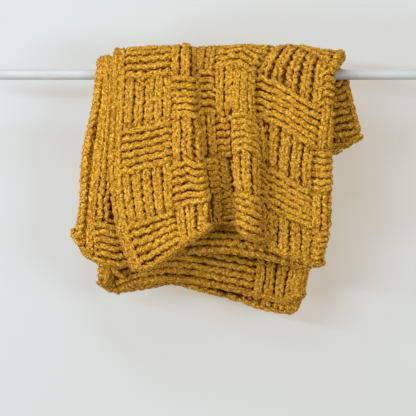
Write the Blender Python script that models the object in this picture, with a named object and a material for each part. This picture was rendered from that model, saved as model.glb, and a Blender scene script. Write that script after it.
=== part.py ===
"""Chunky knit blanket folded into three leaves and hung over a plain round rail.

The rail runs along X and its axis passes through the origin. The viewer stands on the
-Y side, and +Z is up. All sizes below are in millimetres and become metres in the mesh.
"""
import math

import bpy
import bmesh

MM = 0.001

# Driving dimensions of the rail
RAIL_DIAMETER = 15.0
RAIL_LENGTH = 700.0
RAIL_SIDES = 48
RAIL_END_BEVEL = 0.8

# Driving dimensions of the knit cloth
CLOTH_THICKNESS = 8.5
SEAT_GAP = 0.5
LEAF_PITCH = 10.8

# The stations of a fold line, from the front hem over the rail to the rear hem. One unit
# is the hanging length on each side, and the half circle over the rail lies between
# -1 and +1.
STATIONS = {
    "hem": -2.0, "low": -1.8, "mid": -1.5, "brow": -1.05, "crown": 0.0,
    "nape": 1.05, "rear_mid": 1.5, "rear_hem": 2.0,
}

# How far the middle of each leaf stands off the rail's axis where it lies on the rail
INNER_STAND = RAIL_DIAMETER / 2 + SEAT_GAP + CLOTH_THICKNESS / 2
LEAF_STAND = {
    "inner": INNER_STAND,
    "middle": INNER_STAND + LEAF_PITCH,
    "outer": INNER_STAND + 2 * LEAF_PITCH,
}

# How much further off (or nearer) each leaf hangs at each station
LEAF_HANG = {
    "inner": {"hem": -2.5, "low": -2.5, "mid": -1.5, "brow": 0.0, "crown": 0.0,
              "nape": 0.0, "rear_mid": -1.0, "rear_hem": -1.5},
    "middle": {"hem": -1.5, "low": -1.5, "mid": -1.0, "brow": 0.0, "crown": 0.0,
               "nape": 0.0, "rear_mid": 0.0, "rear_hem": 0.0},
    "outer": {"hem": 1.5, "low": 1.5, "mid": 1.0, "brow": 0.0, "crown": 0.0,
              "nape": 0.0, "rear_mid": 1.0, "rear_hem": 2.0},
}

# One row for each line down the cloth, in the order in which the cloth runs: outer leaf
# from its free side edge to the right turn, middle leaf back to the left turn, inner
# leaf to its free side edge. The columns are the leaf, the place along the rail at each
# station, the stand off the leaf at the front stations, and the drop of both hems.
COLUMNS = (
    "leaf", "x_hem", "x_low", "x_mid", "x_brow", "x_crown", "x_rear_mid", "x_rear_hem",
    "off_hem", "off_low", "off_mid", "off_brow", "off_crown", "drop", "rear_drop",
)
FOLD_LINES = {
    "outer_selvage": ("outer", -105, -125, -135, -130, -131, -136, -133, 5, 3, 1, 0, -1, 278, 312),
    "outer_left": ("outer", -86, -105, -114, -113, -115, -118, -114, 8, 7, 5, 2, 1, 276, 310),
    "column_edge": ("outer", -57, -73, -81, -81, -84, -88, -87, 13, 12, 8, 4, 3, 259, 306),
    "pleat_shoulder": ("outer", -25, -28, -34, -44, -46, -59, -62, 24, 20, 15, 9, 5, 236, 301),
    "pleat_crest": ("outer", -4, -7, -17, -29, -32, -45, -47, 34, 30, 23, 15, 7, 223, 301),
    "pleat_nose": ("outer", 3, -1, -10, -23, -26, -38, -39, 27, 23, 16, 12, 5, 217, 303),
    "pleat_tuck": ("outer", -3, -5, -12, -20, -22, -31, -31, 12, 9, 4, 0, 2, 215, 305),
    "valley_left": ("outer", 9, 8, 4, -5, -5, -18, -19, -3, -3, -2, -1, 3, 215, 308),
    "valley_right": ("outer", 32, 31, 26, 14, 20, 6, -2, -3, -3, -2, 0, 4, 215, 313),
    "bulge_foot": ("outer", 47, 45, 40, 24, 32, 16, 9, 5, 5, 2, 3, 4, 215, 316),
    "bulge_left": ("outer", 44, 42, 38, 32, 40, 23, 17, 25, 22, 16, 8, 5, 221, 318),
    "bulge_crest": ("outer", 59, 57, 55, 47, 54, 38, 34, 37, 34, 26, 11, 6, 233, 322),
    "bulge_right": ("outer", 77, 75, 74, 62, 68, 55, 53, 21, 19, 13, 7, 5, 239, 328),
    "groove": ("outer", 83, 82, 82, 74, 80, 65, 64, 2, 2, 0, 1, 4, 243, 332),
    "sheet_left": ("outer", 105, 103, 102, 102, 107, 84, 85, 7, 6, 4, 3, 5, 256, 338),
    "sheet_right": ("outer", 132, 131, 131, 132, 139, 113, 118, 7, 6, 6, 5, 4, 264, 344),
    "sheet_edge": ("outer", 146, 155, 158, 160, 170, 150, 129, 2, 2, 3, 2, -2, 270, 336),
    "right_turn": ("turn", 161, 172, 174, 178, 195, 169, 138, 0, 0, 0, 0, 0, 272, 322),
    "middle_right": ("middle", 140, 149, 153, 157, 168, 150, 120, 0, 0, 0, 0, -1, 276, 328),
    "middle_sheet": ("middle", 110, 110, 110, 110, 112, 98, 91, 0, 0, 0, 0, 0, 268, 324),
    "middle_centre": ("middle", 40, 40, 40, 40, 41, 29, 26, 0, 0, 0, 0, 0, 254, 308),
    "middle_left": ("middle", -26, -26, -26, -26, -26, -41, -41, 0, 0, 0, 0, 0, 254, 296),
    "middle_column": ("middle", -83, -83, -83, -83, -84, -97, -97, 0, 0, 0, 0, 0, 262, 300),
    "middle_strip": ("middle", -126, -128, -129, -128, -127, -131, -131, 1, 1, 1, 1, 0, 274, 312),
    "ridge": ("middle", -155, -160, -152, -141, -140, -141, -139, 7, 7, 5, 2, 0, 268, 311),
    "ridge_step": ("middle", -157, -161, -154, -145, -145, -147, -147, -1, -1, -1, 0, 0, 265, 309),
    "side_strip": ("middle", -176, -171, -164, -149, -149, -149, -149, -1, -1, -1, 0, 0, 256, 307),
    "left_turn": ("turn", -189, -182, -178, -159, -157, -159, -157, 0, 0, 0, 0, 0, 236, 302),
    "inner_left": ("inner", -156, -156, -150, -138, -139, -140, -140, 0, 0, 0, 0, 0, 250, 284),
    "inner_column": ("inner", -69, -69, -69, -69, -70, -55, -48, 0, 0, 0, 0, 0, 247, 230),
    "inner_centre": ("inner", 17, 17, 17, 17, 17, 39, 54, 0, 0, 0, 0, 0, 240, 176),
    "inner_right": ("inner", 111, 111, 111, 115, 119, 141, 160, 0, 0, 0, 0, 0, 240, 119),
    "inner_selvage": ("inner", 152, 155, 157, 162, 172, 207, 219, 0, 0, 0, 0, 0, 240, 88),
}

# How much of a front fold's stand off carries on over the rail and down the rear
REAR_SHARE = {"nape": ("off_brow", 0.6), "rear_mid": ("off_mid", 0.45), "rear_hem": ("off_hem", 0.45)}

# Where the rear edge of a leaf passes straight under the rail
NAPE_X = {"inner_selvage": 198.0, "right_turn": 182.0}

# The half circle of a turn between two leaves, in degrees
TURN_ANGLES = (90, 45, 0, -45, -90)

# Target size of a mesh face across the cloth, for each leaf, and the rows along it
FACE_WIDTH = {"outer": 8.5, "turn": 6.0, "middle": 20.0, "inner": 22.0}
FRONT_ROWS = 11
RAIL_ROWS = 8
REAR_ROWS = 9


def smooth_at(knots, values, place):
    """Value at a place on the smooth curve through the values at the knots."""
    last = len(knots) - 1
    left = 0
    while left < last - 1 and place > knots[left + 1]:
        left += 1
    span = knots[left + 1] - knots[left]
    slopes = []
    for at in (left, left + 1):
        before = max(at - 1, 0)
        after = min(at + 1, last)
        slopes.append((values[after] - values[before]) / (knots[after] - knots[before]))
    t = (place - knots[left]) / span
    rise = values[left + 1] - values[left]
    start_bend = span * slopes[0] - rise
    end_bend = rise - span * slopes[1]
    return values[left] + t * rise + t * (1 - t) * ((1 - t) * start_bend + t * end_bend)


def station_values(name, row):
    """Place along the rail and stand off its axis at each station of one fold line."""
    places = {"nape": NAPE_X.get(name, row["x_crown"])}
    stands = {}
    for station in STATIONS:
        places.setdefault(station, row.get("x_" + station))
        column, share = REAR_SHARE.get(station, ("off_" + station, 1.0))
        if row["leaf"] == "turn":
            stands[station] = None
        else:
            leaf = row["leaf"]
            stands[station] = LEAF_STAND[leaf] + LEAF_HANG[leaf][station] + share * row[column]
    return places, stands


def turn_lines(row, places, before, after):
    """The lines round the half circle by which one leaf turns into the next."""
    lines = []
    for angle in TURN_ANGLES:
        xs = []
        stands = []
        for index, station in enumerate(STATIONS):
            radius = (before["stand"][index] - after["stand"][index]) / 2
            centre = (before["stand"][index] + after["stand"][index]) / 2
            side = math.copysign(1.0, places[station] - before["x"][index])
            reach = radius * (1 - math.cos(math.radians(angle)))
            xs.append(places[station] - side * reach)
            stands.append(centre + radius * math.sin(math.radians(angle)))
        lines.append({"leaf": "turn", "x": xs, "stand": stands,
                      "drop": row["drop"], "rear_drop": row["rear_drop"]})
    return lines


def leaf_line(row, places, stands):
    """One fold line of a leaf as lists over the stations."""
    return {"leaf": row["leaf"], "x": [places[s] for s in STATIONS],
            "stand": [stands[s] for s in STATIONS],
            "drop": row["drop"], "rear_drop": row["rear_drop"]}


def cloth_lines():
    """All lines down the cloth, with the turns worked out from the leaves beside them."""
    rows = {name: dict(zip(COLUMNS, values)) for name, values in FOLD_LINES.items()}
    named = []
    for name, row in rows.items():
        places, stands = station_values(name, row)
        line = None if row["leaf"] == "turn" else leaf_line(row, places, stands)
        named.append((row, places, line))
    lines = []
    for index, (row, places, line) in enumerate(named):
        if line is None:
            lines += turn_lines(row, places, named[index - 1][2], named[index + 1][2])
        else:
            lines.append(line)
    return lines


def widths_across(lines):
    """Running distance across the cloth at each line, averaged over the stations."""
    running = [0.0]
    for first, second in zip(lines, lines[1:]):
        steps = [math.hypot(x2 - x1, r2 - r1) for x1, x2, r1, r2 in
                 zip(first["x"], second["x"], first["stand"], second["stand"])]
        running.append(running[-1] + sum(steps) / len(steps))
    return running


def columns_across(lines, running):
    """Places across the cloth at which the mesh has a column of points."""
    places = [0.0]
    for index in range(len(lines) - 1):
        width = running[index + 1] - running[index]
        count = max(1, round(width / FACE_WIDTH[lines[index]["leaf"]]))
        places += [running[index] + width * (step + 1) / count for step in range(count)]
    return places


def rows_along():
    """Stations at which the mesh has a row of points, from the front hem to the rear hem."""
    front = [-2 + step / FRONT_ROWS for step in range(FRONT_ROWS)]
    over = [-1 + 2 * step / RAIL_ROWS for step in range(RAIL_ROWS + 1)]
    rear = [1 + (step + 1) / REAR_ROWS for step in range(REAR_ROWS)]
    return front + over + rear


def cloth_point(line, station):
    """Point of the cloth's middle surface at one station of one line."""
    knots = list(STATIONS.values())
    x = smooth_at(knots, line["x"], station)
    stand = smooth_at(knots, line["stand"], station)
    if station <= -1:
        return (x, -stand, (station + 1) * line["drop"])
    if station >= 1:
        return (x, stand, -(station - 1) * line["rear_drop"])
    angle = math.pi * (station + 1) / 2
    return (x, -stand * math.cos(angle), stand * math.sin(angle))


def line_at(lines, running, place):
    """The cloth's line at any place across it, read between the named lines."""
    line = {}
    for key in ("x", "stand"):
        line[key] = [smooth_at(running, [each[key][index] for each in lines], place)
                     for index in range(len(STATIONS))]
    for key in ("drop", "rear_drop"):
        line[key] = smooth_at(running, [each[key] for each in lines], place)
    return line


def principled(name, colour, roughness, metallic=0.0):
    """Material with one Principled BSDF."""
    material = bpy.data.materials.new(name)
    material.use_nodes = True
    shader = material.node_tree.nodes["Principled BSDF"]
    shader.inputs["Base Color"].default_value = (*colour, 1.0)
    shader.inputs["Roughness"].default_value = roughness
    shader.inputs["Metallic"].default_value = metallic
    return material


def add_object(name, mesh, material):
    """Object with the given mesh and material, linked to the scene."""
    for polygon in mesh.polygons:
        polygon.use_smooth = True
    mesh.materials.append(material)
    made = bpy.data.objects.new(name, mesh)
    bpy.context.collection.objects.link(made)
    return made


def build_blanket():
    """The one-piece blanket: a grid over its fold lines, thickened to both sides."""
    lines = cloth_lines()
    running = widths_across(lines)
    stations = rows_along()
    shape = bmesh.new()
    grid = []
    for place in columns_across(lines, running):
        line = line_at(lines, running, place)
        points = [cloth_point(line, station) for station in stations]
        grid.append([shape.verts.new([MM * value for value in point]) for point in points])
    for left, right in zip(grid, grid[1:]):
        for row in range(len(stations) - 1):
            shape.faces.new((left[row], right[row], right[row + 1], left[row + 1]))
    bmesh.ops.recalc_face_normals(shape, faces=shape.faces)
    mesh = bpy.data.meshes.new("blanket")
    shape.to_mesh(mesh)
    shape.free()
    blanket = add_object("blanket", mesh, principled("mustard_yarn", (0.58, 0.35, 0.05), 0.95))
    thicken = blanket.modifiers.new("cloth_thickness", "SOLIDIFY")
    thicken.thickness = CLOTH_THICKNESS * MM
    thicken.offset = 0.0
    return blanket


def build_rail():
    """The plain round rail along X, with lightly broken end edges."""
    shape = bmesh.new()
    bmesh.ops.create_cone(
        shape, cap_ends=True, segments=RAIL_SIDES, radius1=RAIL_DIAMETER / 2 * MM,
        radius2=RAIL_DIAMETER / 2 * MM, depth=RAIL_LENGTH * MM)
    mesh = bpy.data.meshes.new("rail")
    shape.to_mesh(mesh)
    shape.free()
    rail = add_object("rail", mesh, principled("white_paint", (0.82, 0.82, 0.8), 0.35))
    rail.rotation_euler = (0.0, math.pi / 2, 0.0)
    broken = rail.modifiers.new("end_edges", "BEVEL")
    broken.width = RAIL_END_BEVEL * MM
    broken.segments = 2
    broken.limit_method = "ANGLE"
    broken.angle_limit = math.radians(60)
    mesh.set_sharp_from_angle(angle=math.radians(40))
    return rail


def main():
    for old in list(bpy.data.objects):
        bpy.data.objects.remove(old, do_unlink=True)
    holder = bpy.data.objects.new("blanket_on_rail", None)
    bpy.context.collection.objects.link(holder)
    for piece in (build_rail(), build_blanket()):
        piece.parent = holder


main()
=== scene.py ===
# %% [markdown]
# # A chunky knit blanket over a rail
# This lesson dresses a folded knit blanket and its rail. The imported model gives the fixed
# frame: where the rail lies and how the folded sheet hangs. The lesson adds what makes it
# look knitted: every row of yarn as a real looped strand, the chained edges, and the finishes.

# %% Load the frame
import math

import bpy
import numpy as np
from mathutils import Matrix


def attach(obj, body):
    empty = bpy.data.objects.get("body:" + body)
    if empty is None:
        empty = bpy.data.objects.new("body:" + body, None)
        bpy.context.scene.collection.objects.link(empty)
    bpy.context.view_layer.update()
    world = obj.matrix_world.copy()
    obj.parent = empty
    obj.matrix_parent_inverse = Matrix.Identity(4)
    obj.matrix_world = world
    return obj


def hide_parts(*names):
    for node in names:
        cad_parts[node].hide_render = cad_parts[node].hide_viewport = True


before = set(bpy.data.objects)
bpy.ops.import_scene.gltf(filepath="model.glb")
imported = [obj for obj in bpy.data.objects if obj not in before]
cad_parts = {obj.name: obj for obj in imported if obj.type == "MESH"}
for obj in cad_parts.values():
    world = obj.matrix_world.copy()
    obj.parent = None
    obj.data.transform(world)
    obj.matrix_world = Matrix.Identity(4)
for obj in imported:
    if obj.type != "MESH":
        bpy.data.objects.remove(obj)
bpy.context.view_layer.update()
MM = 0.001
scene = bpy.context.scene
print("frame nodes:", sorted(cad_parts))

# %% [markdown]
# ## Camera
# The picture was taken square on, from about two metres, with the rail level. A long lens keeps
# the rail straight and the folds unwarped. The picture's width at the rail is known from the
# knit's gauge, so the lens follows from that width and the distance.

# %% Camera
PICTURE_WIDTH = 0.6032
CAMERA_DISTANCE = 2.2
PICTURE_CENTRE_HEIGHT = -0.1934
SENSOR_WIDTH = 36.0

camera_data = bpy.data.cameras.new("camera")
camera_data.sensor_width = SENSOR_WIDTH
camera_data.lens = SENSOR_WIDTH * CAMERA_DISTANCE / PICTURE_WIDTH
camera = bpy.data.objects.new("camera", camera_data)
camera.location = (0.0, -CAMERA_DISTANCE, PICTURE_CENTRE_HEIGHT)
camera.rotation_euler = (math.radians(90), 0.0, 0.0)
scene.collection.objects.link(camera)
scene.camera = camera
print("lens:", round(camera_data.lens, 1), "mm")

# %% [markdown]
# ## Shader maths
# A finish is easiest to read as arithmetic on masks. `Signal` wraps one socket, so that
# `1 - mask` or `grain * 0.4 + 0.3` adds the Math nodes by itself.

# %% Signals
class Signal:
    """A number that changes over a surface, for use in ordinary arithmetic."""

    def __init__(self, finish, socket):
        self.finish = finish
        self.socket = socket

    def _math(self, operation, first, second):
        node = self.finish.node("ShaderNodeMath", {"operation": operation}, {0: first, 1: second})
        return Signal(self.finish, node.outputs[0])

    def __add__(self, other):
        return self._math("ADD", self, other)

    def __radd__(self, other):
        return self._math("ADD", other, self)

    def __sub__(self, other):
        return self._math("SUBTRACT", self, other)

    def __rsub__(self, other):
        return self._math("SUBTRACT", other, self)

    def __mul__(self, other):
        return self._math("MULTIPLY", self, other)

    def __rmul__(self, other):
        return self._math("MULTIPLY", other, self)


print("signals add, subtract and multiply")

# %% [markdown]
# ## Finishes
# `Finish` holds one material with its Principled shader. One method makes every node, from its
# type, its settings and what goes into its sockets, and the short methods below it name the few
# nodes that the finishes use. Colours go through Mix, because a Math node turns a colour grey.

# %% Finishes
class Finish:
    """One material with a Principled shader and the nodes that feed it."""

    def __init__(self, name):
        self.material = bpy.data.materials.new(name)
        self.material.use_nodes = True
        self.tree = self.material.node_tree
        self.shader = self.tree.nodes["Principled BSDF"]

    def node(self, kind, settings, sockets):
        made = self.tree.nodes.new(kind)
        for key, value in settings.items():
            setattr(made, key, value)
        for key, value in sockets.items():
            self.feed(made.inputs[key], value)
        return made

    def feed(self, socket, value):
        if isinstance(value, Signal):
            self.tree.links.new(value.socket, socket)
        elif isinstance(value, bpy.types.NodeSocket):
            self.tree.links.new(value, socket)
        else:
            socket.default_value = value

    def signal(self, kind, settings, sockets, output):
        return Signal(self, self.node(kind, settings, sockets).outputs[output])

    def noise(self, scale, detail, roughness):
        place = self.node("ShaderNodeTexCoord", {}, {}).outputs["Object"]
        return self.signal("ShaderNodeTexNoise", {}, {
            "Vector": place, "Scale": scale, "Detail": detail, "Roughness": roughness}, "Fac")

    def stretch(self, signal, low, high):
        return self.signal("ShaderNodeMapRange", {"clamp": True}, {
            "Value": signal, "From Min": low, "From Max": high}, "Result")

    def blend(self, factor, first, second):
        mixed = self.node("ShaderNodeMix", {"data_type": "RGBA"}, {0: factor, 6: first, 7: second})
        return mixed.outputs[2]

    def bump(self, height, strength, distance):
        node = self.node("ShaderNodeBump", {}, {
            "Height": height, "Strength": strength, "Distance": distance})
        self.feed(self.shader.inputs["Normal"], node.outputs["Normal"])

    def set(self, **values):
        for key, value in values.items():
            self.feed(self.shader.inputs[key.replace("_", " ")], value)


def linear(red, green, blue):
    """Shader colour from a colour as a screen shows it, 0 to 255."""
    def one(value):
        part = value / 255
        return part / 12.92 if part <= 0.04045 else ((part + 0.055) / 1.055) ** 2.4
    return (one(red), one(green), one(blue), 1.0)


print("middle grey on a screen, for a shader:", round(linear(128, 128, 128)[0], 3))

# %% [markdown]
# ## How the blanket is folded
# The blanket is one sheet in three leaves: the outer leaf from its free edge at the left to the
# right turn, the middle leaf back to the left turn, and the inner leaf. A station is a place
# along a line down the cloth: -2 is the front hem, -1 and 1 are level with the rail's axis, 0 is
# on top of the rail and 2 is the rear hem. Each row of the table is one such line, with its place
# along the rail at the named stations, its stand off its leaf, and the drop of both hems. It is
# the same table that gives the solid its shape, so the knit lies exactly where the solid is.
# Behind the rail the folds fade, so a station there takes a share of a front stand. At the nape
# a line keeps its place at the crown, but for two lines. Sizes are in millimetres.

# %% The fold table
RAIL_RADIUS = 7.5
CLOTH_THICKNESS = 8.5
SEAT_GAP = 0.5
LEAF_PITCH = 10.8

STATIONS = {
    "hem": -2.0, "low": -1.8, "mid": -1.5, "brow": -1.05, "crown": 0.0,
    "nape": 1.05, "rear_mid": 1.5, "rear_hem": 2.0,
}
INNER_STAND = RAIL_RADIUS + SEAT_GAP + CLOTH_THICKNESS / 2
LEAF_STAND = {
    "inner": INNER_STAND,
    "middle": INNER_STAND + LEAF_PITCH,
    "outer": INNER_STAND + 2 * LEAF_PITCH,
}
LEAF_HANG = {
    "inner": {"hem": -2.5, "low": -2.5, "mid": -1.5, "brow": 0.0, "crown": 0.0,
              "nape": 0.0, "rear_mid": -1.0, "rear_hem": -1.5},
    "middle": {"hem": -1.5, "low": -1.5, "mid": -1.0, "brow": 0.0, "crown": 0.0,
               "nape": 0.0, "rear_mid": 0.0, "rear_hem": 0.0},
    "outer": {"hem": 1.5, "low": 1.5, "mid": 1.0, "brow": 0.0, "crown": 0.0,
              "nape": 0.0, "rear_mid": 1.0, "rear_hem": 2.0},
}
COLUMNS = (
    "leaf", "x_hem", "x_low", "x_mid", "x_brow", "x_crown", "x_rear_mid", "x_rear_hem",
    "off_hem", "off_low", "off_mid", "off_brow", "off_crown", "drop", "rear_drop",
)
FOLD_LINES = {
    "outer_selvage": ("outer", -105, -125, -135, -130, -131, -136, -133, 5, 3, 1, 0, -1, 278, 312),
    "outer_left": ("outer", -86, -105, -114, -113, -115, -118, -114, 8, 7, 5, 2, 1, 276, 310),
    "column_edge": ("outer", -57, -73, -81, -81, -84, -88, -87, 13, 12, 8, 4, 3, 259, 306),
    "pleat_shoulder": ("outer", -25, -28, -34, -44, -46, -59, -62, 24, 20, 15, 9, 5, 236, 301),
    "pleat_crest": ("outer", -4, -7, -17, -29, -32, -45, -47, 34, 30, 23, 15, 7, 223, 301),
    "pleat_nose": ("outer", 3, -1, -10, -23, -26, -38, -39, 27, 23, 16, 12, 5, 217, 303),
    "pleat_tuck": ("outer", -3, -5, -12, -20, -22, -31, -31, 12, 9, 4, 0, 2, 215, 305),
    "valley_left": ("outer", 9, 8, 4, -5, -5, -18, -19, -3, -3, -2, -1, 3, 215, 308),
    "valley_right": ("outer", 32, 31, 26, 14, 20, 6, -2, -3, -3, -2, 0, 4, 215, 313),
    "bulge_foot": ("outer", 47, 45, 40, 24, 32, 16, 9, 5, 5, 2, 3, 4, 215, 316),
    "bulge_left": ("outer", 44, 42, 38, 32, 40, 23, 17, 25, 22, 16, 8, 5, 221, 318),
    "bulge_crest": ("outer", 59, 57, 55, 47, 54, 38, 34, 37, 34, 26, 11, 6, 233, 322),
    "bulge_right": ("outer", 77, 75, 74, 62, 68, 55, 53, 21, 19, 13, 7, 5, 239, 328),
    "groove": ("outer", 83, 82, 82, 74, 80, 65, 64, 2, 2, 0, 1, 4, 243, 332),
    "sheet_left": ("outer", 105, 103, 102, 102, 107, 84, 85, 7, 6, 4, 3, 5, 256, 338),
    "sheet_right": ("outer", 132, 131, 131, 132, 139, 113, 118, 7, 6, 6, 5, 4, 264, 344),
    "sheet_edge": ("outer", 146, 155, 158, 160, 170, 150, 129, 2, 2, 3, 2, -2, 270, 336),
    "right_turn": ("turn", 161, 172, 174, 178, 195, 169, 138, 0, 0, 0, 0, 0, 272, 322),
    "middle_right": ("middle", 140, 149, 153, 157, 168, 150, 120, 0, 0, 0, 0, -1, 276, 328),
    "middle_sheet": ("middle", 110, 110, 110, 110, 112, 98, 91, 0, 0, 0, 0, 0, 268, 324),
    "middle_centre": ("middle", 40, 40, 40, 40, 41, 29, 26, 0, 0, 0, 0, 0, 254, 308),
    "middle_left": ("middle", -26, -26, -26, -26, -26, -41, -41, 0, 0, 0, 0, 0, 254, 296),
    "middle_column": ("middle", -83, -83, -83, -83, -84, -97, -97, 0, 0, 0, 0, 0, 262, 300),
    "middle_strip": ("middle", -126, -128, -129, -128, -127, -131, -131, 1, 1, 1, 1, 0, 274, 312),
    "ridge": ("middle", -155, -160, -152, -141, -140, -141, -139, 7, 7, 5, 2, 0, 268, 311),
    "ridge_step": ("middle", -157, -161, -154, -145, -145, -147, -147, -1, -1, -1, 0, 0, 265, 309),
    "side_strip": ("middle", -176, -171, -164, -149, -149, -149, -149, -1, -1, -1, 0, 0, 256, 307),
    "left_turn": ("turn", -189, -182, -178, -159, -157, -159, -157, 0, 0, 0, 0, 0, 236, 302),
    "inner_left": ("inner", -156, -156, -150, -138, -139, -140, -140, 0, 0, 0, 0, 0, 250, 284),
    "inner_column": ("inner", -69, -69, -69, -69, -70, -55, -48, 0, 0, 0, 0, 0, 247, 230),
    "inner_centre": ("inner", 17, 17, 17, 17, 17, 39, 54, 0, 0, 0, 0, 0, 240, 176),
    "inner_right": ("inner", 111, 111, 111, 115, 119, 141, 160, 0, 0, 0, 0, 0, 240, 119),
    "inner_selvage": ("inner", 152, 155, 157, 162, 172, 207, 219, 0, 0, 0, 0, 0, 240, 88),
}
REAR_SHARE = {
    "nape": ("off_brow", 0.6), "rear_mid": ("off_mid", 0.45), "rear_hem": ("off_hem", 0.45),
}
NAPE_X = {"inner_selvage": 198.0, "right_turn": 182.0}
TURN_ANGLES = (90, 45, 0, -45, -90)
print(len(FOLD_LINES), "fold lines")

# %% [markdown]
# ## Where the stitches and rows lie
# A knit stretches over a fold, so its stitches and rows are not spread evenly. These two tables
# give the stitch and the row that pass each outer fold line at the hem, low, mid, brow and
# crown stations, as counted off the real blanket. Past the right turn a few lines are enough,
# each with its stitch at the front and at the rear. Behind the rail the rows settle back to an
# even height, so only a share of their shift is left there.

# %% Stitches and rows at the fold lines
STITCHES = 72
ROWS = 62
TABLE_STATIONS = ("hem", "low", "mid", "brow", "crown")
STITCH_AT = {
    "outer_selvage": (0.0, 0.0, 0.0, 0.0, 0.0),
    "outer_left": (1.5, 1.6, 1.7, 1.4, 1.4),
    "column_edge": (3.9, 4.0, 3.9, 3.55, 3.5),
    "pleat_shoulder": (7.2, 7.4, 7.2, 6.7, 6.5),
    "pleat_crest": (8.7, 8.5, 8.1, 7.7, 7.5),
    "pleat_nose": (9.2, 9.0, 8.7, 8.15, 8.0),
    "pleat_tuck": (9.7, 9.5, 9.2, 8.6, 8.4),
    "valley_left": (10.3, 10.15, 10.3, 10.1, 9.8),
    "valley_right": (11.6, 11.6, 11.9, 11.3, 11.4),
    "bulge_foot": (12.4, 12.4, 12.7, 12.0, 12.1),
    "bulge_left": (12.9, 12.9, 13.2, 12.6, 12.6),
    "bulge_crest": (14.6, 14.6, 14.7, 14.1, 13.4),
    "bulge_right": (16.1, 16.1, 16.1, 15.6, 14.2),
    "groove": (16.7, 16.7, 16.7, 16.3, 14.9),
    "sheet_left": (18.4, 18.2, 18.1, 17.7, 16.5),
    "sheet_right": (20.0, 19.9, 19.9, 19.1, 18.3),
    "sheet_edge": (21.2, 21.6, 21.5, 20.6, 20.2),
}
LATER_STITCH = {
    "middle_right": (24.6, 24.2), "middle_sheet": (27.7, 26.2), "middle_centre": (32.6, 30.6),
    "middle_left": (37.4, 35.3), "middle_column": (41.6, 40.0), "ridge": (45.9, 46.2),
    "ridge_step": (46.5, 47.0), "side_strip": (47.9, 47.6), "inner_selvage": (72.0, 72.0),
}
ROW_AT = {
    "outer_selvage": (0.0, 4.7, 12.3, 23.2, 29.2),
    "outer_left": (0.0, 4.8, 12.2, 23.1, 29.1),
    "column_edge": (0.0, 5.1, 12.2, 22.9, 29.0),
    "pleat_shoulder": (0.0, 5.8, 12.1, 22.5, 28.8),
    "pleat_crest": (0.0, 6.2, 12.6, 22.4, 28.7),
    "pleat_nose": (0.0, 6.0, 12.8, 22.2, 28.6),
    "pleat_tuck": (0.0, 5.8, 12.9, 22.1, 28.5),
    "valley_left": (0.0, 5.6, 13.0, 22.0, 28.4),
    "valley_right": (0.0, 5.4, 13.1, 22.0, 28.4),
    "bulge_foot": (0.0, 5.0, 12.8, 22.1, 28.4),
    "bulge_left": (0.0, 4.6, 12.0, 22.1, 28.5),
    "bulge_crest": (0.0, 4.2, 11.1, 22.3, 28.5),
    "bulge_right": (0.0, 4.8, 12.3, 22.8, 28.9),
    "groove": (0.0, 5.3, 13.0, 23.2, 29.4),
    "sheet_left": (0.0, 5.6, 13.1, 24.1, 30.2),
    "sheet_right": (0.0, 6.1, 14.1, 25.3, 31.4),
    "sheet_edge": (0.0, 6.4, 15.0, 26.6, 32.6),
}
REAR_SETTLING = {"nape": 0.8, "rear_mid": 0.4, "rear_hem": 0.0}
print("stitches:", STITCHES, "rows:", ROWS)

# %% [markdown]
# ## Smooth curves
# Cloth has no kinks between the lines and stations of a table. A cubic through the values, with
# its slopes taken from the neighbours, goes exactly through each value and bends softly between.

# %% Smooth curves
def smooth(knots, values, at):
    """Smooth curve through the values at the knots, along the first axis of values."""
    knots = np.asarray(knots, float)
    values = np.asarray(values, float)
    flat = values.reshape(len(knots), -1)
    slopes = np.empty_like(flat)
    slopes[1:-1] = (flat[2:] - flat[:-2]) / (knots[2:] - knots[:-2])[:, None]
    slopes[0] = (flat[1] - flat[0]) / (knots[1] - knots[0])
    slopes[-1] = (flat[-1] - flat[-2]) / (knots[-1] - knots[-2])
    left = np.clip(np.searchsorted(knots, at, side="left") - 1, 0, len(knots) - 2)
    span = (knots[left + 1] - knots[left])[:, None]
    t = (np.asarray(at)[:, None] - knots[left][:, None]) / span
    rise = flat[left + 1] - flat[left]
    start = span * slopes[left] - rise
    end = rise - span * slopes[left + 1]
    made = flat[left] + t * rise + t * (1 - t) * ((1 - t) * start + t * end)
    return made.reshape((len(at),) + values.shape[1:])


print("curve through 0, 1 and 1, at a half:", round(smooth((0, 1, 2), (0, 1, 1), (0.5,))[0], 2))

# %% [markdown]
# ## Lines down the cloth
# A turn between two leaves is a half circle, so its lines are worked out from the leaves on
# both sides. Every line then gets its place and stand at the stations, and its two drops. The
# width run from the free edge to each line is measured here too, because it tells where the
# stitches between the lines belong.

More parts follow.
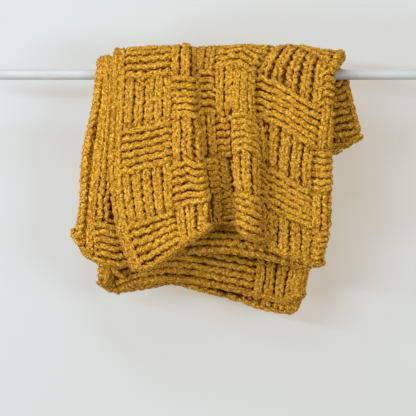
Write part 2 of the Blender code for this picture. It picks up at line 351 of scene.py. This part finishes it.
# %% Lines down the cloth
def fold_lines():
    """Arrays over the lines: place and stand at the stations, both drops, names."""
    rows = {name: dict(zip(COLUMNS, values)) for name, values in FOLD_LINES.items()}
    places, stands = [], []
    for name, row in rows.items():
        leaf = row["leaf"]
        place, stand = [], []
        for station in STATIONS:
            column, share = REAR_SHARE.get(station, ("off_" + station, 1.0))
            nape = NAPE_X.get(name, row["x_crown"])
            place.append(nape if station == "nape" else row["x_" + station])
            stand.append(0.0 if leaf == "turn" else
                         LEAF_STAND[leaf] + LEAF_HANG[leaf][station] + share * row[column])
        places.append(np.array(place, float))
        stands.append(np.array(stand, float))
    out = {"name": [], "x": [], "stand": [], "drop": [], "rear_drop": []}
    for index, (name, row) in enumerate(rows.items()):
        angles = TURN_ANGLES if row["leaf"] == "turn" else (None,)
        for angle in angles:
            x, stand = places[index], stands[index]
            if angle is not None:
                radius = (stands[index - 1] - stands[index + 1]) / 2
                centre = (stands[index - 1] + stands[index + 1]) / 2
                side = np.sign(x - places[index - 1])
                x = x - side * radius * (1 - math.cos(math.radians(angle)))
                stand = centre + radius * math.sin(math.radians(angle))
            out["name"].append(name)
            out["x"].append(x)
            out["stand"].append(stand)
            out["drop"].append(row["drop"])
            out["rear_drop"].append(row["rear_drop"])
    return {key: np.array(value) for key, value in out.items()}


lines = fold_lines()
gaps = np.hypot(np.diff(lines["x"], axis=0), np.diff(lines["stand"], axis=0)).mean(axis=1)
running = np.concatenate([[0.0], np.cumsum(gaps)])
print("width across all leaves:", round(running[-1]), "mm")

# %% [markdown]
# ## Points down the cloth
# From the front hem the cloth hangs straight up to the rail, goes round it in a half circle and
# hangs down again behind. Closely spaced stations between the named ones turn each line into
# points, and the length run at each point tells later how many rows have passed.

# %% Points down the cloth
FINE_STEPS = 80
fine = np.concatenate([
    np.linspace(-2, -1, FINE_STEPS, endpoint=False),
    np.linspace(-1, 1, FINE_STEPS, endpoint=False),
    np.linspace(1, 2, FINE_STEPS + 1),
])


def down_the_cloth(x_line, stand_line, drop, rear_drop):
    """Closely spaced points down many lines, in millimetres, and the length run at each."""
    knots = list(STATIONS.values())
    x = smooth(knots, x_line.T, fine).T
    stand = smooth(knots, stand_line.T, fine).T
    angle = np.pi * (np.clip(fine, -1, 1) + 1) / 2
    front = (fine + 1) * drop[:, None]
    rear = -(fine - 1) * rear_drop[:, None]
    z = np.where(fine < -1, front, np.where(fine > 1, rear, stand * np.sin(angle)))
    points = np.stack([x, -stand * np.cos(angle), z], axis=-1)
    length = np.linalg.norm(np.diff(points, axis=1), axis=2)
    return points, np.concatenate([np.zeros((len(points), 1)), np.cumsum(length, axis=1)], axis=1)


_, line_arc = down_the_cloth(lines["x"], lines["stand"], lines["drop"], lines["rear_drop"])
print("longest line from hem to hem:", round(line_arc[:, -1].max()), "mm")

# %% [markdown]
# ## Stitches and rows on every line
# The tables name only some lines. Between those the stitches are spread by width, and past the
# right turn the uneven rows fade into even ones over some 90 millimetres.

# %% Stitches and rows on every line
TURN_FADE = 90.0


def line_tables():
    """The stitch and the row shift of every line, at every station."""
    names = list(lines["name"])
    outer = len(STITCH_AT)
    known = [names.index(name) for name in LATER_STITCH]
    stitch = np.empty((len(names), len(STATIONS)))
    shift = np.zeros((len(names), len(STATIONS)))
    for at, (station, knot) in enumerate(STATIONS.items()):
        column = TABLE_STATIONS.index(station) if station in TABLE_STATIONS else -1
        settle = REAR_SETTLING.get(station, 1.0)
        crown_or_front = knot if station in TABLE_STATIONS else STATIONS["crown"]
        step = np.argmin(np.abs(fine - crown_or_front))
        even = line_arc[:, step] / line_arc[:, -1] * ROWS
        for index, name in enumerate(STITCH_AT):
            stitch[index, at] = STITCH_AT[name][column]
            shift[index, at] = settle * (ROW_AT[name][column] - even[index])
        places = [running[outer - 1]] + [running[index] for index in known]
        back = np.clip(knot - 1, 0, 1)
        later = [front + (rear - front) * back for front, rear in LATER_STITCH.values()]
        numbers = [stitch[outer - 1, at]] + later
        stitch[outer:, at] = np.interp(running[outer:], places, numbers)
        fade = np.clip(1 - (running[outer:] - running[outer - 1]) / TURN_FADE, 0, 1)
        shift[outer:, at] = shift[outer - 1, at] * fade
    return stitch, shift


line_stitch, line_shift = line_tables()
print("rows moved by up to:", round(float(np.abs(line_shift).max()), 1))

# %% [markdown]
# ## Every stitch down the cloth
# Now the lines are changed for new ones that follow the stitches, four for each. The length down
# such a line, divided by the height of a row, gives the row number at each point. The inner leaf
# has fewer rows towards its free edge, because its rear corner is short, so its rows are given a
# height of their own there, in millimetres at the left turn and at the free edge.

# %% Every stitch down the cloth
PER_STITCH = 4
INNER_ROW = (9.6, 10.8)


def stitches_down_the_cloth(across):
    """Points down the cloth for each stitch number, their row numbers and the height of a row."""
    x_line = np.empty((len(across), len(STATIONS)))
    stand_line, shift_line = np.empty_like(x_line), np.empty_like(x_line)
    for at in range(len(STATIONS)):
        width_at = np.interp(across, line_stitch[:, at], running)
        x_line[:, at] = smooth(running, lines["x"][:, at], width_at)
        stand_line[:, at] = smooth(running, lines["stand"][:, at], width_at)
        shift_line[:, at] = smooth(running, line_shift[:, at], width_at)
    drop = smooth(running, lines["drop"], np.interp(across, line_stitch[:, 0], running))
    rear_width = np.interp(across, line_stitch[:, -1], running)
    rear_drop = smooth(running, lines["rear_drop"], rear_width)
    points, arc = down_the_cloth(x_line, stand_line, drop, rear_drop)
    inner_start = line_stitch[list(lines["name"]).index("inner_left"), 0]
    share = np.clip((across - inner_start) / (STITCHES - inner_start), 0, 1)
    inner_height = INNER_ROW[0] + (INNER_ROW[1] - INNER_ROW[0]) * share
    height = np.maximum(arc[:, -1] / ROWS, np.where(across > inner_start, inner_height, 0))
    row = arc / height[:, None] + smooth(list(STATIONS.values()), shift_line.T, fine).T
    return points, row, height


across_cloth = np.arange(STITCHES * PER_STITCH + 1) / PER_STITCH
cloth_points, cloth_rows, row_height = stitches_down_the_cloth(across_cloth)
print("height of a row:", round(row_height.min(), 1), "to", round(row_height.max(), 1), "mm")

# %% [markdown]
# ## The fabric map
# Knitting is easiest to lay out on flat fabric: so many stitches across, so many rows up. The
# map turns a stitch number and a row number into a point on the folded sheet and the direction
# that faces out of it. It reads both from a grid, which goes on straight past the hems so that
# the loops of the last row have something to lie on.

# %% The fabric map
PER_ROW = 3


class FabricMap:
    """Points and outward directions on the folded sheet, by stitch and row."""

    def __init__(self):
        up = np.arange(-PER_ROW, (ROWS + 1) * PER_ROW + 1) / PER_ROW
        self.first_row = up[0]
        grid = np.empty((len(across_cloth), len(up), 3))
        for index, (points, rows) in enumerate(zip(cloth_points, cloth_rows)):
            for axis in range(3):
                grid[index, :, axis] = np.interp(up, rows, points[:, axis])
            start = points[1] - points[0]
            end = points[-1] - points[-2]
            below = np.minimum(up, 0)[:, None] * row_height[index]
            above = np.maximum(up - rows[-1], 0)[:, None] * row_height[index]
            grid[index] += (below * start / np.linalg.norm(start)
                            + above * end / np.linalg.norm(end))
        self.points = grid * MM
        facing = np.cross(np.gradient(self.points, axis=0), np.gradient(self.points, axis=1))
        self.facing = facing / np.linalg.norm(facing, axis=2, keepdims=True)

    def _read(self, table, stitch, row):
        a = np.clip(stitch, 0, STITCHES) * PER_STITCH
        b = (row - self.first_row) * PER_ROW
        a0 = np.clip(np.floor(a).astype(int), 0, table.shape[0] - 2)
        b0 = np.clip(np.floor(b).astype(int), 0, table.shape[1] - 2)
        fa = (a - a0)[..., None]
        fb = (b - b0)[..., None]
        low = table[a0, b0] * (1 - fb) + table[a0, b0 + 1] * fb
        high = table[a0 + 1, b0] * (1 - fb) + table[a0 + 1, b0 + 1] * fb
        return low * (1 - fa) + high * fa

    def at(self, stitch, row):
        """Points and unit outward directions at stitch and row numbers."""
        facing = self._read(self.facing, stitch, row)
        return (self._read(self.points, stitch, row),
                facing / np.linalg.norm(facing, axis=-1, keepdims=True))

    def last_row(self, stitch):
        """The row at which the cloth ends, at a stitch."""
        return np.interp(stitch, across_cloth, cloth_rows[:, -1])


fabric = FabricMap()
print("rows at the free inner edge:", round(float(fabric.last_row(STITCHES)), 1))

# %% [markdown]
# ## The stitch pattern
# The blanket is a basket pattern: blocks of upright ribs, which are plain stitches, change
# places with blocks of level ridges, which are the same stitches seen from behind. Both side
# edges are one plain rib. So the whole pattern is one table of +1 and -1, a sign for each
# stitch of each row. Two columns are wide, so that the left strip, which shows the back of the
# fabric, and the strip below the hem come out with ridges where the real ones have them, and
# beside the left turn upright ribs run the whole height. The front of the middle leaf and the
# rear of the inner one are seen from the back of the fabric.

# %% The stitch pattern
COLUMN_STARTS = (1, 6, 11, 16, 21, 28, 46, 51, 56, 61, 66, 71)
BLOCK_ROWS = 6
LAST_BAND = 9
MIDDLE_LEAF = (24, 48)
CROWN_ROW = 29
SIDE_RIBS = (42, 50)
TURN_RIBS = (46, 50)


def stitch_signs():
    """+1 for a plain stitch and -1 for a reversed one, by stitch and row."""
    stitch = np.arange(STITCHES)[:, None]
    row = np.arange(ROWS + 1)[None, :]
    column = np.searchsorted(COLUMN_STARTS, stitch, side="right") - 1
    band = np.minimum(row // BLOCK_ROWS, LAST_BAND)
    signs = np.where((column + band) % 2 == 0, -1.0, 1.0)
    signs[slice(*SIDE_RIBS), BLOCK_ROWS:CROWN_ROW] = -1.0
    signs[slice(*TURN_RIBS), :BLOCK_ROWS] = -1.0
    signs[0] = 1.0
    signs[-1] = 1.0
    return signs


def seen_sides():
    """+1 where the front of the fabric is seen and -1 where its back is."""
    stitch = np.arange(STITCHES)[:, None]
    row = np.arange(ROWS + 1)[None, :]
    middle = (stitch >= MIDDLE_LEAF[0]) & (stitch < MIDDLE_LEAF[1]) & (row < CROWN_ROW)
    inner_rear = (stitch >= MIDDLE_LEAF[1]) & (row >= CROWN_ROW)
    return np.where(middle | inner_rear, -1.0, 1.0)


signs = stitch_signs()
seen = seen_sides()
print("plain stitches:", int((signs > 0).sum()), "reversed:", int((signs < 0).sum()))

# %% [markdown]
# ## The path of a row
# Each row is one strand that swings up and down through the row below: feet at the bottom,
# two legs, and a head at the top. A plain stitch has its legs in front; a reversed one has its
# head and feet in front. The two legs of a stitch draw together a little, and hand knitting is
# never quite even, so every stitch is moved a little by chance. A height map would be cheaper
# than strands, but only real strands leave the dark gaps between ribs and look right from
# behind and at the folds. The outer leaf's stitches get more points than the hidden ones.
# Widths and depths are in millimetres, and places, leans and heights in stitches and rows.

# %% The path of a row
STRAND_ACROSS = 3.8
RIDGE_ACROSS = 4.5
LOOP_DEPTH = 1.9
LOOP_LEAN = 0.17
LOOP_CLOSE = 0.068
PLAIN_HEIGHT = 1.5
RIDGE_HEIGHT = 1.16
FLATTEN = 0.7
FOOT_SHARE = 0.25
LEAST_ROW = 0.4
CHANCE_ACROSS = 0.035
CHANCE_UP = 0.05
CHANCE_DEEP = 0.25
FINE_SPLIT = 20
PLAIN_SPLIT = 12
FINE_STITCHES = 24
TRIAL_ROW = 10
dice = np.random.default_rng(7)


def row_path(row):
    """Stitch number, row number, depth and width of the strand along one row."""
    ends = [s for s in range(STITCHES) if fabric.last_row(s + 0.5) > row + LEAST_ROW]
    last = ends[-1] + 1
    splits = [FINE_SPLIT if s < FINE_STITCHES else PLAIN_SPLIT for s in range(last)]
    stitch = np.concatenate([np.full(n, s, float) for s, n in enumerate(splits)] + [[last - 1.0]])
    turn = np.concatenate([np.arange(n) / n for n in splits] + [[1.0]])
    at_foot = np.abs(turn - 0.5) > FOOT_SHARE
    index = stitch.astype(int)
    here = signs[index, row]
    above = signs[index, row + 1]
    nearby = np.where(turn < 0.5, np.maximum(index - 1, 0), np.minimum(index + 1, STITCHES - 1))
    edge = np.clip(0.5 - np.minimum(turn, 1 - turn) / FOOT_SHARE, 0, 0.5)
    foot_sign = here * (1 - edge) + signs[nearby, row] * edge
    wave = np.cos(4 * np.pi * turn)
    wave = np.sign(wave) * np.abs(wave) ** FLATTEN
    foot = np.maximum(wave, 0) * at_foot
    head = np.maximum(wave, 0) * ~at_foot
    leg = np.maximum(-wave, 0)
    depth = LOOP_DEPTH * (leg * (here + above) / 2 - foot * foot_sign - head * above)
    jitter = dice.normal(0, 1, (3, STITCHES + 2))
    chance = [np.interp(stitch + turn, np.arange(STITCHES + 2), line) for line in jitter]
    swing = LOOP_LEAN * np.sin(4 * np.pi * turn) + LOOP_CLOSE * np.sin(2 * np.pi * turn)
    across = stitch + turn + swing + CHANCE_ACROSS * chance[0]
    local = np.where(at_foot, foot_sign, above) * seen[index, row]
    tall = RIDGE_HEIGHT + (PLAIN_HEIGHT - RIDGE_HEIGHT) * (local + 1) / 2
    upward = row + 0.5 - 0.5 * tall * np.cos(2 * np.pi * turn) + CHANCE_UP * chance[1]
    wide = STRAND_ACROSS + (RIDGE_ACROSS - STRAND_ACROSS) * (1 - local) / 2
    return across, upward, depth + CHANCE_DEEP * chance[2], wide


# This trial draws from the dice too, so without it every later row would come out differently.
print("points along a full row:", len(row_path(TRIAL_ROW)[0]))

# %% [markdown]
# ## One strand
# The strand is swept as a soft oval tube along its path. Each point of the tube is then moved a
# little by chance, because the pile of chenille is lumpy.

# %% One strand
STRAND_DEEP = 3.2
PILE_LUMP = 0.68
SIDES = 7


def sweep(centre, facing, wide, deep):
    """Lumpy rings of points round a strand, for its centre line and the way it faces."""
    tangent = np.gradient(centre, axis=0)
    tangent /= np.linalg.norm(tangent, axis=1, keepdims=True)
    side = np.cross(tangent, facing)
    side /= np.linalg.norm(side, axis=1, keepdims=True)
    front = np.cross(side, tangent)
    angle = 2 * np.pi * np.arange(SIDES) / SIDES
    ring = (wide[:, None, None] * np.cos(angle)[None, :, None] * side[:, None, :]
            + deep[:, None, None] * np.sin(angle)[None, :, None] * front[:, None, :])
    rings = centre[:, None, :] + ring
    return rings + PILE_LUMP * MM * dice.normal(0, 1, rings.shape)


def strand_rings(across, upward, depth, wide):
    """Rings of one strand on the fabric, and how far each point is from the fabric's middle."""
    point, facing = fabric.at(across, upward)
    centre = point + facing * (depth * MM)[:, None]
    rings = sweep(centre, facing, wide * MM, np.full(len(centre), STRAND_DEEP * MM))
    height = np.abs(((rings - point[:, None, :]) * facing[:, None, :]).sum(axis=2))
    return rings, height


print("sides of a strand:", SIDES)

# %% [markdown]
# ## Joining strands into a mesh
# Rings become quads between neighbours, with a cap at both ends, so each strand is a closed tube.
# The strands of a band of rows are joined into one mesh, because a few large meshes render faster
# than thousands of small objects. Each point keeps its height above the middle of the fabric, which
# the finish uses to paint shade into the gaps and a highlight on the raised strands.

# %% Strand meshes
def strands_object(name, strands):
    """One mesh object from the rings of many strands."""
    points, quads, caps, heights = [], [], [], []
    start = 0
    for rings, height in strands:
        count = len(rings)
        index = start + np.arange(count * SIDES).reshape(count, SIDES)
        ahead = np.roll(index, -1, axis=1)
        around = np.stack([index[:-1], ahead[:-1], ahead[1:], index[1:]], axis=-1)
        quads.append(around.reshape(-1, 4))
        caps += [index[0][::-1], index[-1]]
        points.append(rings.reshape(-1, 3))
        heights.append(height.reshape(-1))
        start += count * SIDES
    points, quads, caps = np.concatenate(points), np.concatenate(quads), np.array(caps)
    corners = np.concatenate([quads.ravel(), caps.ravel()])
    sizes = np.concatenate([np.full(len(quads), 4), np.full(len(caps), SIDES)])
    mesh = bpy.data.meshes.new(name)
    mesh.vertices.add(len(points))
    mesh.vertices.foreach_set("co", points.astype(np.float32).ravel())
    mesh.loops.add(len(corners))
    mesh.loops.foreach_set("vertex_index", corners.astype(np.int32))
    mesh.polygons.add(len(sizes))
    mesh.polygons.foreach_set("loop_start", (np.cumsum(sizes) - sizes).astype(np.int32))
    mesh.polygons.foreach_set("use_smooth", np.ones(len(sizes), bool))
    mesh.update(calc_edges=True)
    stored = mesh.attributes.new("height", "FLOAT", "POINT")
    stored.data.foreach_set("value", (np.concatenate(heights) / MM).astype(np.float32))
    made = bpy.data.objects.new(name, mesh)
    scene.collection.objects.link(made)
    triangles = 2 * len(quads) + (SIDES - 2) * len(caps)
    print(name, "strands:", len(strands), "triangles:", triangles)
    return made


# %% [markdown]
# ## All the rows
# The rows go on in bands, from the front hem over the rail to the rear hem. One mesh for all of
# them would be simpler, but six bands keep each mesh light enough to look at and change.

# %% Knit the rows
BANDS = 6
yarn_pieces = []
band_edges = np.linspace(0, ROWS, BANDS + 1).round().astype(int)
for band, (low, high) in enumerate(zip(band_edges, band_edges[1:])):
    strands = [strand_rings(*row_path(row)) for row in range(low, high)]
    yarn_pieces.append(strands_object(f"yarn_rows_{band + 1}", strands))

# %% [markdown]
# ## Chained edges
# The ends are bound off and the sides are slipped, so both kinds of edge show a chain: one V
# after another, lying half on the face and half on the rim. Each V is a short strand that
# reaches over one and a half steps, so that its ends disappear under the next one. Its sizes
# are in millimetres.

# %% One chain
CHAIN_WIDTH = 10.0
CHAIN_OUT = 1.0
CHAIN_STRAND = 3.2
CHAIN_FLAT = 0.85
CHAIN_SPLIT = 16
CHAIN_START = 0.06
CHAIN_ARCH = 2.2
CHAIN_FACE = 0.7
CHAIN_REACH = 1.5


def square_to(along, direction):
    """The part of a direction that is square to another one, at length one."""
    part = direction - along * (direction @ along)
    return part / np.linalg.norm(part)


def chain(stitches, rows, step_stitch, step_row, out_stitch, out_row):
    """The V strands of a chain along an edge, one for each given place on it."""
    strands = []
    turn = np.linspace(CHAIN_START, 1 - CHAIN_START, CHAIN_SPLIT)
    for s, r in zip(stitches, rows):
        here, facing = fabric.at(s, r)
        ahead, _ = fabric.at(s + step_stitch / 2, r + step_row / 2)
        behind, _ = fabric.at(s - step_stitch / 2, r - step_row / 2)
        inside, _ = fabric.at(s - out_stitch, r - out_row)
        pitch = np.linalg.norm(ahead - behind)
        along = (ahead - behind) / pitch
        out = square_to(along, here - inside)
        seen_here = seen[min(int(s), STITCHES - 1), min(int(r), ROWS)]
        front = square_to(along, CHAIN_FACE * facing * seen_here + out)
        side = np.cross(along, front)
        p = -0.5 * CHAIN_REACH * pitch * np.cos(2 * np.pi * turn)
        q = CHAIN_WIDTH * MM * (turn - 0.5 + LOOP_LEAN * np.sin(4 * np.pi * turn))
        n = -CHAIN_ARCH * MM * np.cos(4 * np.pi * turn)
        centre = (here + out * CHAIN_OUT * MM + p[:, None] * along
                  + q[:, None] * side + n[:, None] * front)
        size = np.full(len(turn), CHAIN_STRAND * MM)
        rings = sweep(centre, np.tile(front, (len(turn), 1)), size, size * CHAIN_FLAT)
        strands.append((rings, np.full(rings.shape[:2], STRAND_DEEP * MM)))
    return strands


print("points along a V:", CHAIN_SPLIT)

# %% [markdown]
# ## Chains on all four edges
# Along the hems there is one V for each stitch. Along the sides a slipped edge has fewer than
# the rows. The inner side is shorter, because its leaf ends early at the rear.

# %% Chain the edges
SIDE_STEP = 1.3
INTO_CLOTH = 0.5
hem_places = np.arange(STITCHES) + 0.5
side_places = np.arange(0.5, ROWS, SIDE_STEP)
inner_places = side_places[side_places < fabric.last_row(STITCHES)]
edge_strands = (
    chain(hem_places, np.zeros(STITCHES), 1.0, 0.0, 0.0, -INTO_CLOTH)
    + chain(hem_places, fabric.last_row(hem_places), 1.0, 0.0, 0.0, INTO_CLOTH)
    + chain(np.zeros(len(side_places)), side_places, 0.0, SIDE_STEP, -INTO_CLOTH, 0.0)
    + chain(np.full(len(inner_places), float(STITCHES)), inner_places,
            0.0, SIDE_STEP, INTO_CLOTH, 0.0))
yarn_pieces.append(strands_object("chained_edges", edge_strands))

# %% [markdown]
# ## The middle sheet, painted as shade
# At the bottom of the gaps between the strands there is only shade. A thin sheet along the middle
# of the fabric stands for it, painted dark. It has the blanket's true outline, so its flat size and
# area are measured here.

# %% The middle sheet
WEB_THICKNESS = 1.6
WEB_INSET = 0.12


def middle_sheet():
    """Thin closed sheet along the middle of the fabric, a little inside its edges."""
    across = np.linspace(WEB_INSET, STITCHES - WEB_INSET, STITCHES + 1)
    share = np.linspace(0, 1, ROWS + 1)
    ends = fabric.last_row(across)
    up = WEB_INSET + share[None, :] * (ends[:, None] - 2 * WEB_INSET)
    point, facing = fabric.at(np.repeat(across[:, None], len(share), axis=1), up)
    half = WEB_THICKNESS * MM / 2
    layers = np.stack([point + half * facing, point - half * facing])
    top, under = np.arange(layers[..., 0].size).reshape(layers.shape[:3])
    quads = [np.stack([top[:-1, :-1], top[1:, :-1], top[1:, 1:], top[:-1, 1:]], -1),
             np.stack([under[:-1, :-1], under[:-1, 1:], under[1:, 1:], under[1:, :-1]], -1)]
    for upper, lower in ((top[0][::-1], under[0][::-1]), (top[-1], under[-1]),
                         (top[:, 0], under[:, 0]), (top[::-1, -1], under[::-1, -1])):
        quads.append(np.stack([upper[:-1], lower[:-1], lower[1:], upper[1:]], -1))
    faces = np.concatenate([part.reshape(-1, 4) for part in quads])
    mesh = bpy.data.meshes.new("painted_shade_sheet")
    mesh.from_pydata(layers.reshape(-1, 3), [], faces.tolist())
    mesh.polygons.foreach_set("use_smooth", np.ones(len(faces), bool))
    made = bpy.data.objects.new("painted_shade_sheet", mesh)
    scene.collection.objects.link(made)
    flat_width = np.linalg.norm(np.diff(point, axis=0), axis=2).mean(axis=1).sum()
    longest_row = np.linalg.norm(np.diff(point, axis=1), axis=2).sum(axis=1).max()
    area = sum(polygon.area for polygon in mesh.polygons) / 2
    print("flat width:", round(flat_width, 3), "longest row line:", round(longest_row, 3),
          "area:", round(area, 3), "triangles:", 2 * len(faces))
    return made


middle = middle_sheet()

# %% [markdown]
# ## Yarn finish
# Chenille has a short pile, bright at its tips and dark at its roots. Tufts and a finer grain
# speckle the colour at random, and large patches make the dye a little uneven. The height above the
# middle of the fabric paints shade on the parts that lie deep and a highlight on the raised ones,
# so the root colour is also painted shade and the tip colour is also a painted highlight. A soft
# sheen brightens the pile at its rims. The middle sheet between the strands is painted dark as the
# shade at the bottom of the gaps, and has no sheen.

# %% Yarn finish
# The root colour is also the painted shade in the gaps, and the tip colour is also the painted
# highlight on raised strands.
YARN_ROOT_AND_GAP_SHADE = (84, 29, 5)
YARN_BODY = (232, 163, 36)
YARN_TIP_AND_HIGHLIGHT = (243, 198, 78)
YARN_SHEEN = (255, 215, 120)
FULL_LIGHT_HEIGHT = 4.2
PILE_BUMP = 0.0028
# Painted shade: the middle sheet's two dark colours stand for the shade at the bottom of the gaps.
GAP_SHADE_DARK = (52, 26, 8)
GAP_SHADE_LIGHT = (92, 52, 14)
GAP_SHADE_BUMP = 0.001


def yarn_finish():
    """Matt mustard chenille."""
    finish = Finish("mustard_chenille")
    tuft = finish.stretch(finish.noise(scale=390.0, detail=2.0, roughness=0.6), low=0.36, high=0.56)
    grain = finish.stretch(finish.noise(scale=820.0, detail=1.0, roughness=0.5), low=0.35, high=0.6)
    patches = finish.stretch(finish.noise(scale=28.0, detail=2.0, roughness=0.5), low=0.3, high=0.7)
    height = finish.signal("ShaderNodeAttribute", {"attribute_name": "height"}, {}, "Fac")
    # Painted shade: points that lie deep between the strands move towards the dark root colour.
    painted_gap_shade = finish.stretch(height, low=0.0, high=FULL_LIGHT_HEIGHT)
    pile = tuft * 0.7 + grain * 0.3
    light = finish.stretch(painted_gap_shade * 0.56 + pile * 0.54 + patches * 0.05, low=0.26, high=0.96)
    body = finish.blend(light, linear(*YARN_ROOT_AND_GAP_SHADE), linear(*YARN_BODY))
    # Painted highlight: raised points with bright pile move towards the tip colour.
    tips_and_highlight = finish.stretch(pile * light, low=0.55, high=1.0)
    finish.set(Base_Color=finish.blend(tips_and_highlight, body, linear(*YARN_TIP_AND_HIGHLIGHT)), Roughness=0.92,
               Sheen_Weight=0.12, Sheen_Roughness=0.45, Sheen_Tint=linear(*YARN_SHEEN),
               Specular_IOR_Level=0.12)
    finish.bump(pile, strength=1.0, distance=PILE_BUMP)
    return finish.material


def gap_shade_finish():
    """Painted shade: the dark finish of the middle sheet, seen at the bottom of the gaps."""
    finish = Finish("dark_gap_shade")
    grain = finish.noise(scale=420.0, detail=2.0, roughness=0.6)
    finish.set(Base_Color=finish.blend(grain, linear(*GAP_SHADE_DARK), linear(*GAP_SHADE_LIGHT)),
               Roughness=1.0, Specular_IOR_Level=0.0)
    finish.bump(grain, strength=0.4, distance=GAP_SHADE_BUMP)
    return finish.material


yarn = yarn_finish()
for piece in yarn_pieces:
    piece.data.materials.append(yarn)
# The middle sheet is painted dark as shade.
middle.data.materials.append(gap_shade_finish())
print("yarn finish on", len(yarn_pieces), "pieces")

# %% [markdown]
# ## Rail finish
# The rail is a thin round rod in satin white paint. Sprayed paint is never quite flat, so a
# faint, slow ripple bends the highlight, and a little dust dulls its white in places.

# %% Rail finish
PAINT = (184, 189, 193)
DUSTY_PAINT = (177, 182, 185)
RIPPLE_BUMP = 0.0006


def paint_finish():
    """Satin white paint with a faint ripple."""
    finish = Finish("satin_white_paint")
    ripple = finish.noise(scale=160.0, detail=2.0, roughness=0.5)
    dust = finish.stretch(finish.noise(scale=30.0, detail=3.0, roughness=0.6), low=0.35, high=0.75)
    finish.set(Base_Color=finish.blend(dust, linear(*PAINT), linear(*DUSTY_PAINT)),
               Roughness=ripple * 0.12 + 0.42, Specular_IOR_Level=0.3)
    finish.bump(ripple, strength=0.06, distance=RIPPLE_BUMP)
    return finish.material


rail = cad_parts["rail"]
rail.data.materials.clear()
rail.data.materials.append(paint_finish())
print("rail painted")

# %% [markdown]
# ## Joining the model
# Every piece rides on the one body, and the plain solid is hidden, because the sheet and the
# strands take its place. The sheet's area is less than its width times its length, because the
# inner leaf ends early at the rear.

# %% Ride and replace
for piece in [middle] + yarn_pieces:
    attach(piece, "root")
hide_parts("blanket")

# %% [markdown]
# ## Backdrop and floor
# The blanket hangs close in front of a pale plain backdrop, so its soft shadow falls just
# below and to the right. The backdrop glows a little warm, so that its shadows turn warm too,
# and it throws light back on the rail and on the back of the blanket. The floor throws none.
# Both are seen from their front only and cast no shadow, so that they never stand between a
# camera or a lamp behind them and the blanket.

# %% Backdrop and floor
BACKDROP_Y = 0.085
BACKDROP_PAINT = (128, 152, 170)
BACKDROP_GLOW = (0.42, 0.32, 0.22, 1.0)
FLOOR_Z = -1.1
FLOOR_PAINT = (216, 215, 212)
FLOOR_GLOW = (0.04, 0.03, 0.02, 1.0)
STAGE_SIZE = 6.0
STAGE_GRAIN = 4


def stage_finish(name, paint, glow):
    """Plain matt stage paint with a faint glow, shown on the front of a sheet only."""
    finish = Finish(name)
    grain = finish.noise(scale=3.0, detail=2.0, roughness=0.5) * 0.3
    darker = [part - STAGE_GRAIN for part in paint]
    finish.set(Base_Color=finish.blend(grain, linear(*paint), linear(*darker)), Roughness=0.95,
               Specular_IOR_Level=0.1, Emission_Color=glow, Emission_Strength=1.0)
    clear = finish.node("ShaderNodeBsdfTransparent", {}, {}).outputs[0]
    behind = finish.signal("ShaderNodeNewGeometry", {}, {}, "Backfacing")
    shown = finish.node("ShaderNodeMixShader", {}, {
        0: behind, 1: finish.shader.outputs[0], 2: clear}).outputs[0]
    finish.tree.links.new(shown, finish.tree.nodes["Material Output"].inputs["Surface"])
    return finish.material


def stage_sheet(name, corners, material, throws_light):
    """A flat stage sheet through four corners."""
    mesh = bpy.data.meshes.new(name)
    mesh.from_pydata(corners, [], [(0, 1, 2, 3)])
    mesh.materials.append(material)
    made = bpy.data.objects.new(name, mesh)
    scene.collection.objects.link(made)
    made.visible_shadow = False
    made.visible_diffuse = throws_light
    made.visible_glossy = throws_light
    print(name, "throws light back:", throws_light)


half = STAGE_SIZE / 2
stage_sheet("backdrop", [(-half, BACKDROP_Y, FLOOR_Z), (half, BACKDROP_Y, FLOOR_Z),
                         (half, BACKDROP_Y, half), (-half, BACKDROP_Y, half)],
            stage_finish("pale_backdrop", BACKDROP_PAINT, BACKDROP_GLOW), throws_light=True)
stage_sheet("floor", [(-half, -STAGE_SIZE, FLOOR_Z), (half, -STAGE_SIZE, FLOOR_Z),
                      (half, STAGE_SIZE, FLOOR_Z), (-half, STAGE_SIZE, FLOOR_Z)],
            stage_finish("pale_floor", FLOOR_PAINT, FLOOR_GLOW), throws_light=False)

# %% [markdown]
# ## Light
# The long lamp up to the left gives the shadow on the backdrop. A lamp above, two low ones at
# the sides and a pale warm world soften it, and one behind lights the back. Each lamp has its
# place, width, height, power and colour, and all of them are turned towards one point.

# %% Lamps and world
LIT_POINT = (0.0, 0.0, -0.15)
LAMPS = {
    "left_front": ((-2.1, -1.6, 0.43), 2.2, 0.22, 49.0, (0.98, 0.99, 1.0)),
    "above": ((-0.4, -1.5, 1.7), 1.3, 0.8, 25.0, (1.0, 0.99, 0.97)),
    "left_low": ((-2.1, -1.4, -0.9), 1.0, 0.6, 30.0, (1.0, 0.97, 0.92)),
    "right_front": ((1.7, -1.9, -0.1), 1.2, 0.9, 28.0, (1.0, 0.96, 0.9)),
    "rear_fill": ((0.8, 2.2, 1.2), 1.6, 1.6, 26.0, (1.0, 0.99, 0.98)),
}
WORLD_COLOUR = (1.0, 0.93, 0.85, 1.0)
WORLD_STRENGTH = 0.3

for name, (place, width, height, power, colour) in LAMPS.items():
    lamp_data = bpy.data.lights.new(name, "AREA")
    lamp_data.shape = "RECTANGLE"
    lamp_data.size = width
    lamp_data.size_y = height
    lamp_data.energy = power
    lamp_data.color = colour
    lamp = bpy.data.objects.new(name, lamp_data)
    lamp.location = place
    aim = np.array(LIT_POINT) - np.array(place)
    lamp.rotation_euler = (math.atan2(math.hypot(aim[0], aim[1]), -aim[2]), 0.0,
                           math.atan2(aim[1], aim[0]) - math.pi / 2)
    scene.collection.objects.link(lamp)

world = bpy.data.worlds.new("pale_world")
world.use_nodes = True
world.node_tree.nodes["Background"].inputs["Color"].default_value = WORLD_COLOUR
world.node_tree.nodes["Background"].inputs["Strength"].default_value = WORLD_STRENGTH
scene.world = world
scene.view_settings.view_transform = "Standard"
print("lamps:", ", ".join(LAMPS))
